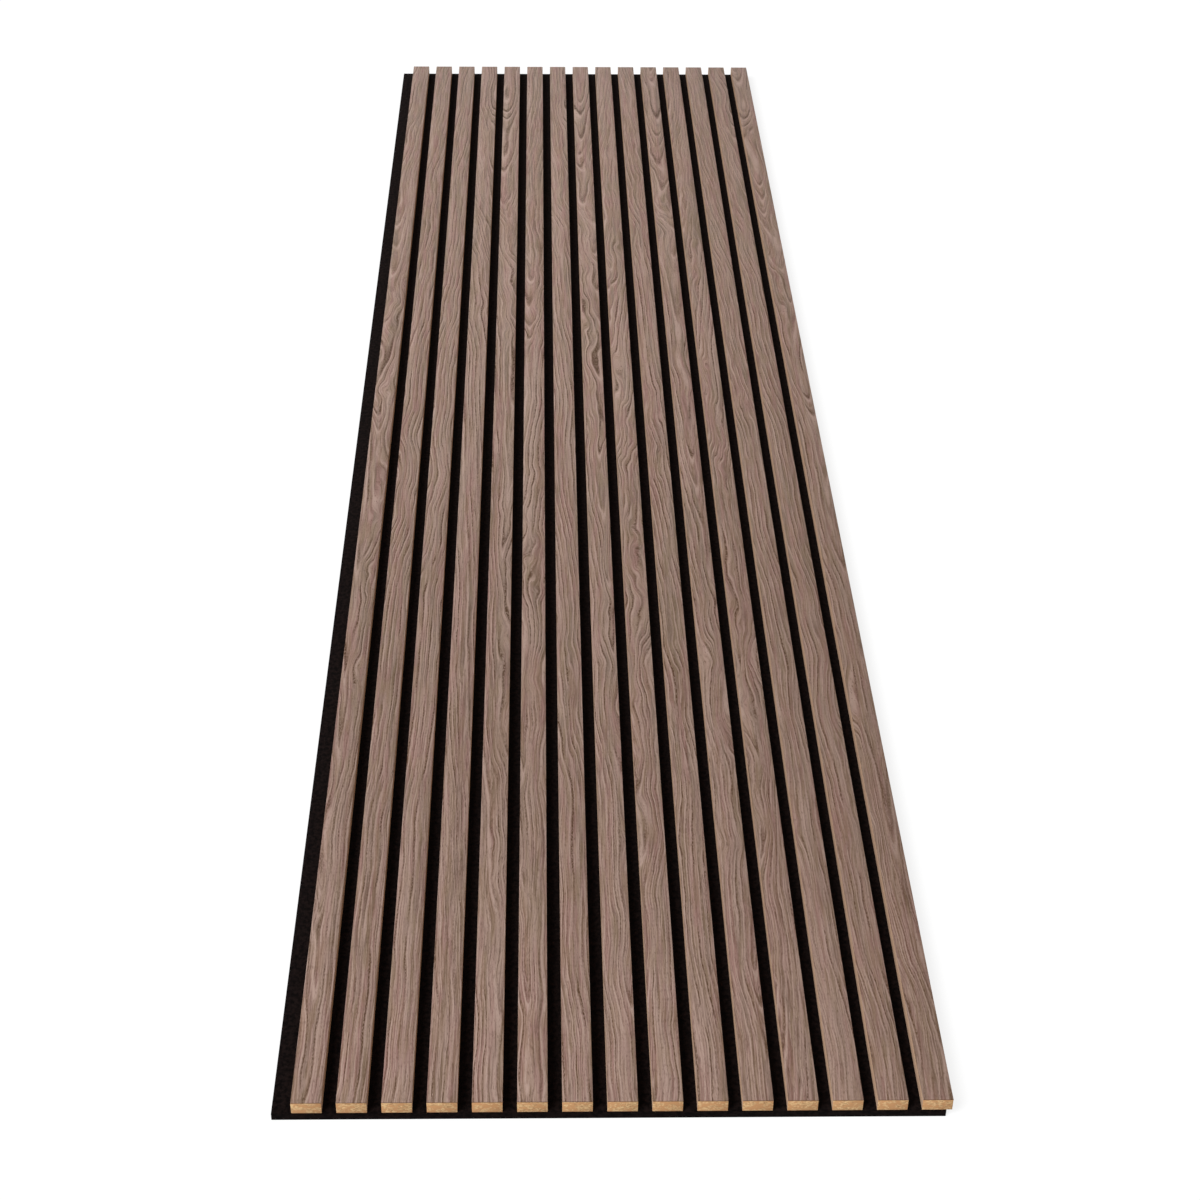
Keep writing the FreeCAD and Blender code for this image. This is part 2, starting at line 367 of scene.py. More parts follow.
class LeafWiring(PatternWiring):
    """Wiring for the veneer, with a point's place on its leaf.

    Each leaf was cut into three slats' faces, edge to edge, so its figure runs on from one to the next.
    """

    def __init__(self, name, leaf_shift, **shader):
        """Works out the leaf's number, the place on it, and how deep in the wood the leaf was cut."""
        super().__init__(name, **shader)
        self.slat, on_slat = self.place_on_slat()
        self.leaf = self.math("FLOOR", self.math("DIVIDE", self.plus(self.slat, 0.5), SLATS_IN_A_LEAF))
        in_leaf = self.minus(self.slat, self.times(self.leaf, SLATS_IN_A_LEAF))
        from_middle_slat = self.minus(in_leaf, SLATS_IN_A_LEAF // 2)
        self.across = self.plus(on_slat, self.times(from_middle_slat, SLAT_WIDTH / MM))
        self.slice_depth = self.times(self.leaf, leaf_shift)
        self.place = self.vector(self.across, self.y, self.slice_depth)
        self.foot = self.ramp(self.y, -1000.0, -450.0, 1.0, 0.0)


def ring_field(w, look):
    """The rings from the heart to a point, its place across the waving wood, and the figure's strength.

    The leaf cuts through rings round a heart that lies a little under it: wide lines over the heart and
    narrow ones beside it. Where the tree tapers, the heart's rings close to the long tongues of flat-sawn
    wood, and the lines beside it run aslant. The waves bend the whole figure sideways.
    """
    along_heart = w.vector(0.0, w.y, w.slice_depth)
    drift = w.ramp(w.y, 250.0, 800.0, 12.0, -3.0)
    first_leaf = w.ramp(w.leaf, 0.0, 1.0, -45.0, 0.0)
    last_leaf = w.ramp(w.leaf, 3.0, 4.0, 0.0, 24.0)
    heart = w.plus(drift, w.wander(along_heart, "heart", 11.0), first_leaf, last_leaf)
    beside = w.math("ABSOLUTE", w.minus(w.across, heart))

    liveliness = w.ramp(w.noise(w.place, "liveliness"), 0.4, 0.6, 0.1, 1.0)
    calm_foot = w.ramp(w.y, -1150.0, -450.0, 0.28, 1.0)
    calm_head = w.ramp(w.y, 100.0, 900.0, 1.0, 0.5)
    calm_side = w.ramp(beside, 14.0, 38.0, 1.1, 0.5)
    reach = w.times(look.wave, liveliness, calm_foot, calm_head, calm_side)
    waves = w.wander(w.place, "waves", reach)
    ripples = w.wander(w.place, "ripples", w.times(reach, 0.22))
    bent = w.plus(w.across, waves, ripples, w.wander(w.place, "tremble", 0.5))

    swell = w.plus(1.0, w.wander(along_heart, "heart_depth", 0.4))
    depth = w.times(look.heart_depth, w.ramp(w.y, -500.0, 600.0, 0.3, 1.0), swell)
    from_heart = w.minus(bent, heart)
    radius = w.math("SQRT", w.plus(w.math("POWER", from_heart, 2.0), w.math("POWER", depth, 2.0)))
    foot_taper = w.ramp(w.y, -1600.0, 700.0, 0.0, -60.0)
    head_taper = w.ramp(w.y, -100.0, 1700.0, 0.0, -80.0)
    radius = w.plus(radius, foot_taper, head_taper, w.wander(along_heart, "taper", 3.5))
    spacing = w.wander(w.vector(radius, w.slice_depth, 0.0), "ring_spacing", 0.45)
    rings = w.plus(w.math("DIVIDE", radius, look.ring_width), spacing)
    quiet_head = w.ramp(w.y, 100.0, 700.0, 1.0, 0.7)
    return rings, bent, w.ramp(beside, 9.0, 20.0, 1.0, quiet_head)


def ring_lines(w, rings, seed):
    """The dark line at each ring's end, whose strength is the ring's own, and the pale one after it."""
    along_ring = w.math("FRACT", rings)
    strength = w.math("MULTIPLY_ADD", w.random(w.math("FLOOR", rings), seed), 0.75, 0.25)
    dark = w.times(w.ramp(along_ring, 0.6, 0.84), w.ramp(along_ring, 0.9, 0.99, 1.0, 0.0), strength)
    pale = w.times(w.ramp(along_ring, 0.0, 0.05), w.ramp(along_ring, 0.1, 0.36, 1.0, 0.0))
    return dark, pale


def figure_lines(w, fibre_place, rings, strength):
    """The figure's dark lines, bold and fine, broken along the fibres, and the paler wood beside them."""
    bold, bold_pale = ring_lines(w, rings, BOLD_SEED)
    fine, fine_pale = ring_lines(w, w.times(rings, FINE_LINES_IN_A_RING), FINE_SEED)
    bold_share = w.times(w.ramp(w.noise(w.place, "bold_fading", 1.0), 0.38, 0.56, 0.25, 1.1), strength)
    fine_fading = w.ramp(w.noise(w.place, "fine_fading", 1.0), 0.4, 0.6, 0.2, 1.0)
    fine_share = w.times(fine_fading, w.math("MULTIPLY_ADD", w.foot, 0.35, 0.3))
    lines = w.math("MAXIMUM", w.times(bold, bold_share), w.times(fine, fine_share))
    glow = w.math("MAXIMUM", w.times(bold_pale, bold_share), w.times(fine_pale, fine_share))
    broken = w.ramp(w.noise(fibre_place, "breaks", 1.0), 0.35, 0.62, 0.35, 1.3)
    return w.times(lines, broken), glow


def wood_pores(w, fibre_place):
    """1 in the wood's pores and 0 between them. They lie along the fibres, in clusters."""
    clusters = w.noise(fibre_place, "pore_clusters", 1.0)
    limit = w.math("MULTIPLY_ADD", clusters, -0.35, 0.8)
    return w.ramp(w.minus(w.noise(fibre_place, "pores", 1.0), limit), 0.0, 0.07)


def wood_ground(w, look, fibre_place, streaks, glow):
    """The colour of the wood under its dark lines and pores, with painted shade that varies along and
    across the panel.
    """
    tone = w.ramp(w.noise(w.place, "tone", 2.0), 0.35, 0.65)
    tint = w.noise(fibre_place, "tint", 1.0)
    bands = w.noise(fibre_place, "bands", 1.0)
    streak_share = w.math("MULTIPLY_ADD", w.foot, 0.1, 0.55)
    # Painted shade: the dark laid over the whole ground is partly the wood's own tone and partly painted
    # light falling off. It is darkest a little above the foot and to the right, and lightest at the head.
    tone_and_painted_shade_near_foot = w.ramp(w.y, -1100.0, -750.0, 0.21, 0.25)
    painted_light_towards_head = w.ramp(w.y, -500.0, 150.0, 0.0, -0.1)
    painted_shade_to_right = w.ramp(w.x, -40.0, 330.0, 0.0, 0.18)
    return w.layered(
        opaque(look.warm),
        (w.times(tone, w.math("MULTIPLY_ADD", w.foot, -0.2, 1.0)), look.grey),
        (w.ramp(tint, 0.42, 0.58, 0.0, 0.42), look.tan),
        (w.times(w.random(w.slat, VENEER_SEED), 0.1), look.pale),
        (w.ramp(bands, 0.5, 0.68, 0.0, 0.38), look.pale),
        (w.ramp(bands, 0.5, 0.32, 0.0, 0.17), look.dark),
        (w.ramp(streaks, 0.48, 0.66, 0.0, streak_share), look.pale),
        (w.ramp(streaks, 0.5, 0.32, 0.0, w.times(streak_share, 0.7)), look.dark),
        (w.times(glow, 0.75), look.pale),
        # Painted shade and painted light along and across the panel, over the wood's own darker tone.
        (w.plus(tone_and_painted_shade_near_foot, painted_light_towards_head, painted_shade_to_right), look.dark),
    )


def walnut_material(look):
    """Greyed walnut veneer under a matt finish, dark at the glue and at the cut ends."""
    w = LeafWiring("walnut_veneer", look.leaf_shift, IOR=1.42, Specular_IOR_Level=0.25)
    rings, bent, strength = ring_field(w, look)
    fibre_place = w.vector(bent, w.y, w.slice_depth)
    lines, glow = figure_lines(w, fibre_place, rings, strength)
    streaks = w.noise(fibre_place, "streaks", 2.0, 0.62)
    pores = wood_pores(w, fibre_place)
    glue_top, fade = VENEER_LOW.z / MM + look.glue, 0.05
    glue = w.ramp(w.z, glue_top - fade, glue_top + fade, 0.8, 0.0)
    cut_end = w.towards_end(0.35, 0.1, 0.0, 0.55)
    colour = w.layered(
        wood_ground(w, look, fibre_place, streaks, glow),
        (w.times(lines, w.math("MULTIPLY_ADD", w.foot, -0.25, look.line_contrast)), look.dark),
        (w.times(pores, 0.6), look.dark),
        (w.math("MAXIMUM", glue, cut_end), look.dark),
    )
    height = w.minus(w.times(streaks, 0.3), w.math("MULTIPLY_ADD", pores, 0.7, lines))
    roughness = w.math("MULTIPLY_ADD", pores, 0.2, w.math("MULTIPLY_ADD", streaks, 0.12, 0.48))
    return w.finish(colour, height, look.relief, roughness)


def fibreboard_material(look):
    """Raw fibreboard: flecks pressed flat in the cut ends, and dusty, more even sawn sides, darkened as
    painted shade.
    """
    w = PatternWiring("raw_fibreboard", IOR=1.4, Specular_IOR_Level=0.15)
    flecks = w.noise(w.place, "flecks", 3.0, 0.65)
    patches = w.noise(w.place, "patches", 2.0)
    dust = w.noise(w.place, "dust", 1.0)
    low, high = FIRST_CORE_LOW.z / MM, FIRST_CORE_HIGH.z / MM
    from_face = w.math("MINIMUM", w.minus(w.z, low), w.minus(high, w.z))
    press_skin = w.ramp(from_face, 0.1, 1.6, 1.0, 0.0)
    slat, _ = w.place_on_slat()
    slat_tone = w.random(slat, CORE_SEED)
    reddened = w.math("MULTIPLY_ADD", slat_tone, 0.3, w.ramp(patches, 0.46, 0.56, 0.0, 0.85))
    colour = w.layered(
        opaque(look.dark),
        (w.ramp(flecks, 0.32, 0.6), look.pale),
        (reddened, look.warm),
        (w.times(press_skin, 0.2), look.dark),
        # Painted shade: the sawn sides away from the cut ends take the darkened sawn colour, which stands
        # in for the shade in the gaps between the slats.
        (w.towards_end(0.6, 0.2, 0.8, 0.0), look.sawn),
        (w.ramp(dust, 0.55, 0.8, 0.0, 0.45), look.sawn),
    )
    height = w.plus(flecks, w.times(dust, 0.6))
    return w.finish(colour, height, look.relief, w.ramp(dust, 0.3, 0.7, 0.82, 0.97))


def felt_material(look, name, lightness):
    """Pressed black-brown felt: matted fibres with paler ones on top, as light as the share says."""
    w = PatternWiring(
        name, Roughness=0.96, Specular_IOR_Level=0.03, Sheen_Weight=0.008, Sheen_Roughness=0.6
    )
    lumps = w.noise(w.place, "lumps", 3.0, 0.6)
    matted = w.math("MAXIMUM", w.noise(w.place, "hairs", 2.0), w.noise(w.place, "crossing_hairs", 2.0))
    colour = w.layered(
        opaque(look.dark),
        (w.ramp(lumps, 0.36, 0.64), look.brown),
        (w.ramp(matted, 0.6, 0.78, 0.0, lightness), look.pale),
    )
    return w.finish(colour, w.plus(lumps, w.times(matted, 0.7)), look.relief)


def staple_material(look):
    """Zinc-plated wire, drawn and a little dull."""
    w = PatternWiring("zinc_wire", Metallic=1.0)
    drawn = w.noise(w.place, "drawn_lines", 2.0)
    dull = w.noise(w.place, "dull_patches", 2.0)
    colour = w.layered(opaque(look.colour), (w.ramp(dull, 0.35, 0.7, 0.0, 0.5), look.dull))
    return w.finish(colour, drawn, look.relief, w.ramp(dull, 0.3, 0.7, 0.28, 0.5))


class TreeWiring(Wiring):
    """Wiring for a Geometry Nodes tree that takes a geometry, a Material and the named inputs given."""

    def __init__(self, name, **inputs):
        """Makes the tree with its sockets, and keeps those that give it its inputs."""
        tree = bpy.data.node_groups.new(name, "GeometryNodeTree")
        super().__init__(tree)
        tree.interface.new_socket(name="Geometry", in_out="OUTPUT", socket_type="NodeSocketGeometry")
        for label, kind in {"Geometry": "Geometry", **inputs, "Material": "Material"}.items():
            tree.interface.new_socket(name=label, in_out="INPUT", socket_type=f"NodeSocket{kind}")
        self.given = self.add("NodeGroupInput").outputs

    def any_number(self, low, high, seed):
        """A random number between two for each point of a geometry."""
        return self.add("FunctionNodeRandomValue", {2: low, 3: high, "Seed": seed}).outputs[1]

    def moved(self, geometry, place):
        """The geometry moved by a vector."""
        return self.add("GeometryNodeTransform", {"Geometry": geometry, "Translation": place}).outputs[0]

    def row(self, count, step):
        """Points in a row about the origin."""
        half_back = self.times(self.minus(count, 1), -0.5)
        start = self.add("ShaderNodeVectorMath", {0: step, "Scale": half_back}, operation="SCALE")
        inputs = {"Count": count, "Start Location": start.outputs[0], "Offset": step}
        return self.add("GeometryNodeMeshLine", inputs).outputs[0]

    def copies(self, points, geometry, **inputs):
        """A copy of the geometry on every point."""
        inputs = {"Points": points, "Instance": geometry, **inputs}
        return self.add("GeometryNodeInstanceOnPoints", inputs).outputs[0]

    def grid(self, geometry):
        """Copies of the geometry in Columns across the panel and Rows along it, about the point Middle."""
        across = self.row(self.given["Columns"], self.vector(self.given["ColumnStep"], 0.0, 0.0))
        along = self.row(self.given["Rows"], self.vector(0.0, self.given["RowStep"], 0.0))
        return self.moved(self.copies(along, self.copies(across, geometry)), self.given["Middle"])

    def finish(self, geometry):
        """Makes instances real, gives them the Material and ends the tree."""
        real = self.add("GeometryNodeRealizeInstances", {"Geometry": geometry}).outputs[0]
        dressed = {"Geometry": real, "Material": self.given["Material"]}
        self.add("NodeGroupOutput", {0: self.add("GeometryNodeSetMaterial", dressed).outputs[0]})
        return self.tree


GRID_INPUTS = {
    "Columns": "Int", "ColumnStep": "Float", "Rows": "Int", "RowStep": "Float", "Middle": "Vector",
}


def slat_tree():
    """A bar along Y, number Slat of a row at an even pitch, marked for the easing of its bare edges.

    Glued is 1 where the bar's upper face is the glued one and -1 where it is the lower. That face's edges
    stay sharp.
    """
    w = TreeWiring(
        "slat_bar", Length="Float", Width="Float", Thickness="Float", Base="Float", FirstMiddle="Float",
        Pitch="Float", Slat="Int", Stretches="Int", Glued="Float",
    )
    size = w.vector(w.given["Width"], w.given["Length"], w.given["Thickness"])
    breaks = w.plus(w.given["Stretches"], 1)
    bar = w.add("GeometryNodeMeshCube", {"Size": size, "Vertices Y": breaks}).outputs["Mesh"]
    position = w.add("GeometryNodeInputPosition").outputs[0]
    level = w.add("ShaderNodeSeparateXYZ", {0: position}).outputs["Z"]
    towards_glue = w.times(level, w.given["Glued"])
    bare = w.math("LESS_THAN", towards_glue, w.times(w.given["Thickness"], NEARLY_HALF))
    marks = {"Geometry": bar, "Name": "bevel_weight_edge", "Value": bare}
    marked = w.add("GeometryNodeStoreNamedAttribute", marks, domain="EDGE").outputs[0]
    middle = w.math("MULTIPLY_ADD", w.given["Slat"], w.given["Pitch"], w.given["FirstMiddle"])
    height = w.math("MULTIPLY_ADD", w.given["Thickness"], 0.5, w.given["Base"])
    return w.finish(w.moved(marked, w.vector(middle, 0.0, height)))


def leg_hole_tree():
    """Cuts the holes that the staples' legs leave, from the height Bottom to Top, into the geometry."""
    w = TreeWiring(
        "leg_holes", **GRID_INPUTS, WireWidth="Float", WireThickness="Float", LegStep="Float",
        Bottom="Float", Top="Float",
    )
    height = w.minus(w.given["Top"], w.given["Bottom"])
    size = w.vector(w.given["WireThickness"], w.given["WireWidth"], height)
    cutter = w.add("GeometryNodeMeshCube", {"Size": size}).outputs["Mesh"]
    level = w.times(w.plus(w.given["Top"], w.given["Bottom"]), 0.5)
    legs = w.row(2, w.vector(w.given["LegStep"], 0.0, 0.0))
    pair = w.copies(legs, w.moved(cutter, w.vector(0.0, 0.0, level)))
    cutters = w.add("GeometryNodeRealizeInstances", {"Geometry": w.grid(pair)}).outputs[0]
    meshes = {"Mesh 1": w.given["Geometry"], "Mesh 2": cutters}
    cut = w.add("GeometryNodeMeshBoolean", meshes, operation="DIFFERENCE", solver="EXACT")
    return w.finish(cut.outputs["Mesh"])


def staple_tree():
    """The staple that is given, in Columns across the panel and Rows along it."""
    w = TreeWiring("staple_grid", **GRID_INPUTS)
    return w.finish(w.grid(w.given["Geometry"]))


def fibre_tree():
    """Loose curled fibres scattered on the faces that are given, lying nearly flat."""
    w = TreeWiring("felt_fibres", Density="Float", Seed="Int", FibreLength="Float", FibreRadius="Float")
    half = w.times(w.given["FibreLength"], 0.5)
    outline = {"Resolution": FIBRE_SIDES, "Radius": w.given["FibreRadius"]}
    profile = w.add("GeometryNodeCurvePrimitiveCircle", outline).outputs[0]
    bend = {
        "Resolution": FIBRE_STRETCHES,
        "Start": w.vector(w.times(half, -1.0), 0.0, 0.0),
        "Middle": w.vector(0.0, half, w.times(half, 0.3)),
        "End": w.vector(half, 0.0, w.times(half, 0.1)),
    }
    curl = w.add("GeometryNodeCurveQuadraticBezier", bend).outputs[0]
    swept = {"Curve": curl, "Profile Curve": profile, "Fill Caps": True}
    fibre = w.add("GeometryNodeCurveToMesh", swept).outputs[0]
    scatter = {"Mesh": w.given["Geometry"], "Density": w.given["Density"], "Seed": w.given["Seed"]}
    points = w.add("GeometryNodeDistributePointsOnFaces", scatter).outputs["Points"]
    turn = w.any_number(-math.pi, math.pi, TURN_SEED)
    tilt = w.any_number(-0.25, 0.25, TILT_SEED)
    rotation = w.add("FunctionNodeEulerToRotation", {0: w.vector(tilt, 0.0, turn)}).outputs[0]
    length = w.any_number(0.4, 1.3, LENGTH_SEED)
    bow = w.any_number(0.15, 1.2, BOW_SEED)
    return w.finish(w.copies(points, fibre, Rotation=rotation, Scale=w.vector(length, bow, 1.0)))


def grown(name, base, growths, ease=0.0):
    """A plain mesh piece that trees, given as (tree, inputs), grow from a base mesh in turn.

    The edges that the first tree marks are eased after it.
    """
    piece = bpy.data.objects.new(name, base)
    bpy.context.scene.collection.objects.link(piece)
    for number, (tree, values) in enumerate(growths):
        growth = piece.modifiers.new(tree.name, "NODES")
        growth.node_group = tree
        for item in tree.interface.items_tree:
            if item.in_out == "INPUT" and item.name in values:
                growth[item.identifier] = values[item.name]
        if ease and number == 0:
            easing = piece.modifiers.new("easing", "BEVEL")
            easing.width = ease
            easing.segments = EASING_SEGMENTS
            easing.limit_method = "WEIGHT"
    evaluated = piece.evaluated_get(bpy.context.evaluated_depsgraph_get())
    plain = bpy.data.meshes.new_from_object(evaluated)
    piece.modifiers.clear()
    piece.data = plain
    plain.name = name
    plain.shade_smooth()
    plain.set_sharp_from_angle(angle=SMOOTH_BELOW)
    bpy.data.meshes.remove(base)
    return piece


def settle(piece, finish, *nodes):
    """Fixes a finished piece to the panel and hides the solids that it stands for. The finish is not used.
    """
    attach(piece, "root")
    if nodes:
        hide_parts(*nodes)


def closed_mesh(name, vertices, faces):
    """A mesh of the points and faces, with its faces turned outwards."""
    mesh = bpy.data.meshes.new(name)
    mesh.from_pydata(vertices, [], faces)
    shape = bmesh.new()
    shape.from_mesh(mesh)
    bmesh.ops.recalc_face_normals(shape, faces=shape.faces)
    shape.to_mesh(mesh)
    shape.free()
    return mesh


def staple_grid(look, columns=len(CORES)):
    """Where the staples stand, as the inputs of the trees that repeat them."""
    rows_length = STAPLES_HIGH.y - STAPLES_LOW.y - look.wire_width
    row_step = rows_length / (look.rows - 1)
    return {"Columns": columns, "ColumnStep": PITCH, "Rows": look.rows, "RowStep": row_step}


def leg_holes(look, middle, columns, bottom):
    """The inputs for the leg holes of staples in a number of columns about a middle, from a height up."""
    return {
        **staple_grid(look, columns), "Middle": (middle, 0.0, 0.0), "WireWidth": look.wire_width,
        "WireThickness": look.wire_thickness, "LegStep": CROWN - look.wire_thickness, "Bottom": bottom,
        "Top": STAPLES_HIGH.z,
    }


def bars(nodes, label, material, finish, ease, glued, holes=None):
    """One bar for each of the slat solids named, with its bare edges eased and its holes cut."""
    tree, hole_tree = slat_tree(), leg_hole_tree()
    for number, node in enumerate(nodes):
        low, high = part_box(node)
        size = high - low
        bar = {
            "Length": size.y, "Width": size.x, "Thickness": size.z, "Base": low.z,
            "FirstMiddle": FIRST_MIDDLE, "Pitch": PITCH, "Slat": number, "Stretches": STRETCHES,
            "Glued": glued, "Material": material,
        }
        growths = [(tree, bar)]
        if holes:
            middle = STAPLES_LOW.x + CROWN / 2 + number * PITCH
            cut = {**leg_holes(holes, middle, 1, low.z - OVERCUT), "Material": material}
            growths.append((hole_tree, cut))
        name = f"{label}_{number + 1:02d}"
        settle(grown(name, bpy.data.meshes.new(name), growths, ease), finish, node)


def staple_mesh(look):
    """One staple of flat wire about its own middle, its crown on the ground and its legs up to points."""
    side = CROWN / 2 - look.wire_thickness / 2
    tip = STAPLES_HIGH.z - STAPLES_LOW.z
    half_width, half_thickness = look.wire_width / 2, look.wire_thickness / 2
    arris = look.wire_thickness / 5
    section = [(half_width, half_thickness - arris), (half_width - arris, half_thickness)]
    section += [(-along, out) for along, out in reversed(section)]
    section += [(along, -out) for along, out in reversed(section)]
    rings = []
    for angle in BEND_ANGLES:
        outward = Vector((math.sin(angle), 0, -math.cos(angle)))
        centre = Vector((side - look.bend, 0, half_thickness + look.bend)) + look.bend * outward
        rings.append([centre + Vector((0, along, 0)) + out * outward for along, out in section])
    slope = look.point / look.wire_thickness
    ends = [(out, along, tip - (half_thickness - out) * slope) for along, out in section]
    rings.append([Vector((side + out, along, height)) for out, along, height in ends])
    mirrored = [[Vector((-point.x, point.y, point.z)) for point in ring] for ring in reversed(rings)]
    loops = mirrored + rings
    count = len(section)
    corners = range(count)
    faces = [tuple(corners), tuple(count * (len(loops) - 1) + corner for corner in corners)]
    for loop in range(len(loops) - 1):
        for corner in corners:
            after = (corner + 1) % count
            lower, upper = loop * count, (loop + 1) * count
            faces.append((lower + corner, lower + after, upper + after, upper + corner))
    return closed_mesh("staple", [point for ring in loops for point in ring], faces)


def near_middles(values, middles):
    """How far each value lies from the nearest of the middles."""
    return np.min(np.abs(np.subtract.outer(values, middles)), axis=1)


def felt_lines(middles, half, reach, low, high):
    """The grid lines of the felt between two edges, close together where a crown presses it in."""
    offsets = half + reach * np.array(DIMPLE_STEPS)
    beside = [middles + side * offset for side in (1, -1) for offset in offsets]
    lines = np.concatenate([[low, high], *beside])
    return np.unique(np.round(lines[(lines >= low) & (lines <= high)], MICRON_DIGITS))


def felt_mesh(look, staple):
    """The board: two sheets and a wall rounded at both, with the lower sheet pressed in at each crown."""
    grid = staple_grid(staple)
    columns = STAPLES_LOW.x + CROWN / 2 + PITCH * np.arange(len(CORES))
    rows = STAPLES_LOW.y + staple.wire_width / 2 + grid["RowStep"] * np.arange(staple.rows)
    radius, reach = look.edge_radius, look.dimple_reach
    half_crown, half_wire = CROWN / 2, staple.wire_width / 2
    xs = felt_lines(columns, half_crown, reach, FELT_LOW.x + radius, FELT_HIGH.x - radius)
    ys = felt_lines(rows, half_wire, reach, FELT_LOW.y + radius, FELT_HIGH.y - radius)
    off_x = np.maximum(near_middles(xs, columns) - half_crown, 0.0)
    off_y = np.maximum(near_middles(ys, rows) - half_wire, 0.0)
    share = np.clip(1 - np.hypot(off_x[:, None], off_y[None, :]) / reach, 0, 1)
    eased = share * share * (3 - 2 * share)
    pressed = eased * (STAPLES_LOW.z + staple.wire_thickness - FELT_LOW.z)

    across, along = len(xs), len(ys)
    grid_x, grid_y = np.meshgrid(xs, ys, indexing="ij")
    lower = np.stack([grid_x, grid_y, FELT_LOW.z + pressed], axis=-1).reshape(-1, 3)
    upper = np.stack([grid_x, grid_y, np.full_like(grid_x, FELT_HIGH.z)], axis=-1).reshape(-1, 3)
    number = np.arange(across * along).reshape(across, along)
    corners = [number[:-1, :-1], number[1:, :-1], number[1:, 1:], number[:-1, 1:]]
    quads = np.stack(corners, axis=-1).reshape(-1, 4)
    border = np.concatenate([number[:-1, 0], number[-1, :-1], number[:0:-1, -1], number[0, :0:-1]])
    edge = upper[border]
    outward = np.zeros((len(border), 2))
    outward[:, 0] = (edge[:, 0] >= xs[-1]).astype(float) - (edge[:, 0] <= xs[0])
    outward[:, 1] = (edge[:, 1] >= ys[-1]).astype(float) - (edge[:, 1] <= ys[0])

    wall = []
    for face, side in ((FELT_HIGH.z, -1), (FELT_LOW.z, 1)):
        for angle in ROUNDING_ANGLES[::-side]:
            out = radius * math.sin(angle)
            height = face + side * radius * (1 - math.cos(angle))
            wall.append(np.column_stack([edge[:, :2] + outward * out, np.full(len(edge), height)]))
    sheet, count = len(upper), len(border)
    loops = [border + sheet]
    loops += [2 * sheet + ring * count + np.arange(count) for ring in range(len(wall))]
    loops += [border]
    faces = [*quads, *(quads + sheet)]
    for above, below in zip(loops, loops[1:]):
        faces += [*np.stack([above, below, np.roll(below, -1), np.roll(above, -1)], axis=-1)]
    vertices = np.concatenate([lower, upper, *wall])
    return closed_mesh("felt_board", vertices.tolist(), [face.tolist() for face in faces])


def bare_felt_mesh(look):
    """Faces over the felt that shows, between the slats and on the left, for the fibres to lie on."""
    margin = look.fibre_length / 2
    cores = [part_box(node) for node in CORES]
    lefts = [FELT_LOW.x] + [high.x for _, high in cores]
    rights = [low.x for low, _ in cores]
    vertices, faces = [], []
    for left, right in zip(lefts, rights):
        corners = [(left, FELT_LOW.y), (right, FELT_LOW.y), (right, FELT_HIGH.y), (left, FELT_HIGH.y)]
        faces.append(tuple(range(len(vertices), len(vertices) + len(corners))))
        for x, y in corners:
            inset_x = x + margin if x == left else x - margin
            vertices.append((inset_x, y - math.copysign(margin, y), FELT_HIGH.z + look.fibre_radius))
    mesh = bpy.data.meshes.new("bare_felt")
    mesh.from_pydata(vertices, [], faces)
    return mesh


class SLATPANEL_OT_felt(bpy.types.Operator):
    """Make the felt board, pressed in round the staples"""

    bl_idname = "slat_panel.felt"
    bl_label = "Felt Board"
    bl_options = {"REGISTER", "UNDO"}

    def execute(self, context):
        """Makes the board and cuts the holes of the staples' legs in it."""
        look = context.scene.slat_panel
        material = felt_material(look.felt, "pressed_felt", lightness=0.5)
        middle = (STAPLES_LOW.x + STAPLES_HIGH.x) / 2
        bottom = STAPLES_LOW.z + look.staple.wire_thickness / 2
        holes = {**leg_holes(look.staple, middle, len(CORES), bottom), "Material": material}
        board = grown("felt_board", felt_mesh(look.felt, look.staple), [(leg_hole_tree(), holes)])
        settle(board, "felt", "felt_backing")
        return {"FINISHED"}


class SLATPANEL_OT_fibres(bpy.types.Operator):
    """Scatter loose fibres on the bare felt"""

    bl_idname = "slat_panel.fibres"
    bl_label = "Loose Fibres"
    bl_options = {"REGISTER", "UNDO"}

    def execute(self, context):
        """Scatters the fibres over the felt between the slats and on the border."""
        felt = context.scene.slat_panel.felt
        material = felt_material(felt, "loose_fibres", lightness=1.0)
        scatter = {
            "Density": felt.fibre_density, "Seed": felt.seed, "FibreLength": felt.fibre_length,
            "FibreRadius": felt.fibre_radius, "Material": material,
        }
        settle(grown("felt_fibres", bare_felt_mesh(felt), [(fibre_tree(), scatter)]), "felt")
        return {"FINISHED"}


class SLATPANEL_OT_slats(bpy.types.Operator):
    """Make the fibreboard bar of every slat"""

    bl_idname = "slat_panel.slats"
    bl_label = "Fibreboard Bars"
    bl_options = {"REGISTER", "UNDO"}

    def execute(self, context):
        """Makes the bars and cuts the holes of the staples' legs in them."""
        look = context.scene.slat_panel
        material = fibreboard_material(look.slat)
        bars(CORES, "fibreboard_bar", material, "mdf", look.slat.ease, glued=1.0, holes=look.staple)
        return {"FINISHED"}


class SLATPANEL_OT_veneers(bpy.types.Operator):
    """Make the walnut face of every slat"""

    bl_idname = "slat_panel.veneers"
    bl_label = "Walnut Faces"
    bl_options = {"REGISTER", "UNDO"}

    def execute(self, context):
        """Makes the walnut strips."""
        look = context.scene.slat_panel
        material = walnut_material(look.veneer)
        bars(VENEERS, "walnut_face", material, "veneer", look.veneer.arris, glued=-1.0)
        return {"FINISHED"}


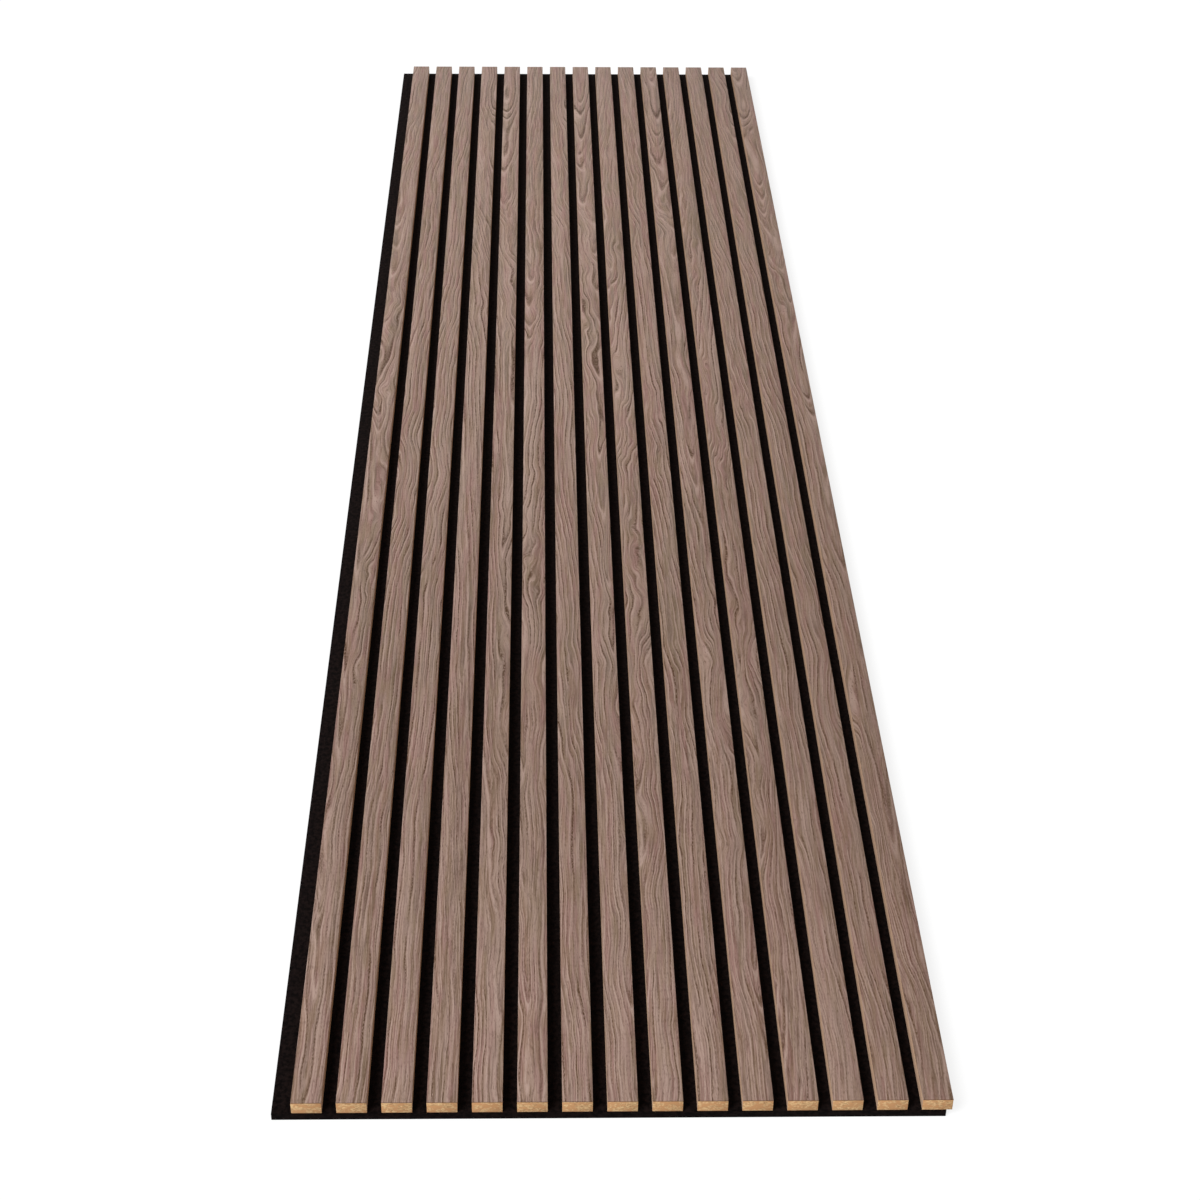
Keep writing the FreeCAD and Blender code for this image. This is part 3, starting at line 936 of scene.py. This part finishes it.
class SLATPANEL_OT_staples(bpy.types.Operator):
    """Make the wire staples in the panel's back"""

    bl_idname = "slat_panel.staples"
    bl_label = "Wire Staples"
    bl_options = {"REGISTER", "UNDO"}

    def execute(self, context):
        """Makes one staple and repeats it under every slat."""
        look = context.scene.slat_panel
        middle = ((STAPLES_LOW.x + STAPLES_HIGH.x) / 2, 0.0, STAPLES_LOW.z)
        grid = {**staple_grid(look.staple), "Middle": middle, "Material": staple_material(look.staple)}
        staples = grown("wire_staples", staple_mesh(look.staple), [(staple_tree(), grid)])
        settle(staples, "staple", "staples")
        return {"FINISHED"}


class SLATPANEL_OT_stage(bpy.types.Operator):
    """Make the floor, the light and the camera"""

    bl_idname = "slat_panel.stage"
    bl_label = "Stage"
    bl_options = {"REGISTER", "UNDO"}

    def execute(self, context):
        """Makes the floor, the lights and the camera."""
        look = context.scene.slat_panel
        make_floor(look.stage)
        make_light(look.stage)
        make_camera(look.stage)
        return {"FINISHED"}


def seen_share(w):
    """1 for a ray that shows something, straight, mirrored or through glass, and 0 for any other."""
    path = w.add("ShaderNodeLightPath").outputs
    straight_or_mirrored = w.plus(path["Is Camera Ray"], path["Is Glossy Ray"])
    return w.math("ADD", straight_or_mirrored, path["Is Transmission Ray"], clamp=True)


def make_floor(look):
    """A white floor that shows the panel's shadow. It is open from below and to light on its way."""
    half = look.floor_size / 2
    corners = [(-half, -half, 0), (half, -half, 0), (half, half, 0), (-half, half, 0)]
    mesh = bpy.data.meshes.new("floor")
    mesh.from_pydata(corners, [], [(0, 1, 2, 3)])
    material = bpy.data.materials.new("white_floor")
    material.use_nodes = True
    w = Wiring(material.node_tree)
    w.tree.nodes.clear()
    paint = w.add("ShaderNodeBsdfDiffuse", {"Color": opaque(look.floor_colour)}).outputs[0]
    glow = w.add("ShaderNodeEmission", {"Strength": look.floor_lift}).outputs[0]
    white = w.add("ShaderNodeAddShader", {0: paint, 1: glow}).outputs[0]
    below = w.add("ShaderNodeNewGeometry").outputs["Backfacing"]
    shown = w.times(seen_share(w), w.minus(1.0, below))
    open_air = w.add("ShaderNodeBsdfTransparent").outputs[0]
    surface = w.add("ShaderNodeMixShader", {0: shown, 1: open_air, 2: white}).outputs[0]
    w.add("ShaderNodeOutputMaterial", {"Surface": surface})
    mesh.materials.append(material)
    floor = bpy.data.objects.new("floor", mesh)
    bpy.context.scene.collection.objects.link(floor)


def make_light(look):
    """Even light from all round, which shows as white, and a broad sun from the upper left."""
    world = bpy.data.worlds.new("studio")
    world.use_nodes = True
    w = Wiring(world.node_tree)
    background = w.tree.nodes["Background"].inputs
    w.feed(background["Strength"], w.math("MULTIPLY_ADD", seen_share(w), 1.0 - look.sky, look.sky))
    w.feed(background["Color"], opaque((1.0, 1.0, 1.0)))
    bpy.context.scene.world = world
    lamp = bpy.data.lights.new("sun", "SUN")
    lamp.energy = look.sun * math.pi
    lamp.angle = look.sun_size
    sun = bpy.data.objects.new("sun", lamp)
    sun.rotation_mode = "QUATERNION"
    sun.rotation_quaternion = Vector(look.sun_direction).to_track_quat("Z", "Y")
    bpy.context.scene.collection.objects.link(sun)


def make_camera(look):
    """The camera at the picture's view: from the panel's foot, looking down along it."""
    lens = bpy.data.cameras.new("camera")
    lens.lens = look.lens
    lens.shift_x = look.camera_shift
    camera = bpy.data.objects.new("camera", lens)
    turn = Matrix.Rotation(-look.camera_turn, 4, "Z")
    tilt = Matrix.Rotation(math.radians(90) - look.camera_pitch, 4, "X")
    roll = Matrix.Rotation(look.camera_roll, 4, "Z")
    camera.matrix_world = Matrix.Translation(look.camera_place) @ turn @ tilt @ roll
    bpy.context.scene.collection.objects.link(camera)
    bpy.context.scene.camera = camera


def own_settings(group):
    """The names of a group's settings, without the two that Blender gives to every group."""
    return [name for name in group.bl_rna.properties.keys() if name not in ("rna_type", "name")]


class SLATPANEL_PT_panel(bpy.types.Panel):
    """Lists the steps and the settings of the slat panel"""

    bl_idname = "SLATPANEL_PT_panel"
    bl_label = "Slat Panel"
    bl_space_type = "VIEW_3D"
    bl_region_type = "UI"
    bl_category = "Slat Panel"

    def draw(self, context):
        """Draws a button for each step and a field for each setting."""
        look = context.scene.slat_panel
        for step in STEPS:
            self.layout.operator(step.bl_idname)
        for group in own_settings(look):
            box = self.layout.box()
            box.label(text=group.title())
            settings = getattr(look, group)
            for name in own_settings(settings):
                box.prop(settings, name)


STEPS = (
    SLATPANEL_OT_felt, SLATPANEL_OT_fibres, SLATPANEL_OT_slats, SLATPANEL_OT_veneers, SLATPANEL_OT_staples,
    SLATPANEL_OT_stage,
)
CLASSES = (
    FeltLook, SlatLook, VeneerLook, StapleLook, StageLook, PanelLook, *STEPS, SLATPANEL_PT_panel,
)


def register():
    """Makes the settings, the steps and the sidebar known to Blender."""
    for made in CLASSES:
        bpy.utils.register_class(made)
    bpy.types.Scene.slat_panel = PointerProperty(type=PanelLook)


def unregister():
    """Takes them out again."""
    del bpy.types.Scene.slat_panel
    for made in reversed(CLASSES):
        bpy.utils.unregister_class(made)


def main():
    """Builds the whole scene."""
    register()
    bpy.ops.slat_panel.felt()
    bpy.ops.slat_panel.fibres()
    bpy.ops.slat_panel.slats()
    bpy.ops.slat_panel.veneers()
    bpy.ops.slat_panel.staples()
    bpy.ops.slat_panel.stage()
    bpy.context.scene.view_settings.view_transform = "Standard"


if __name__ == "__main__":
    main()
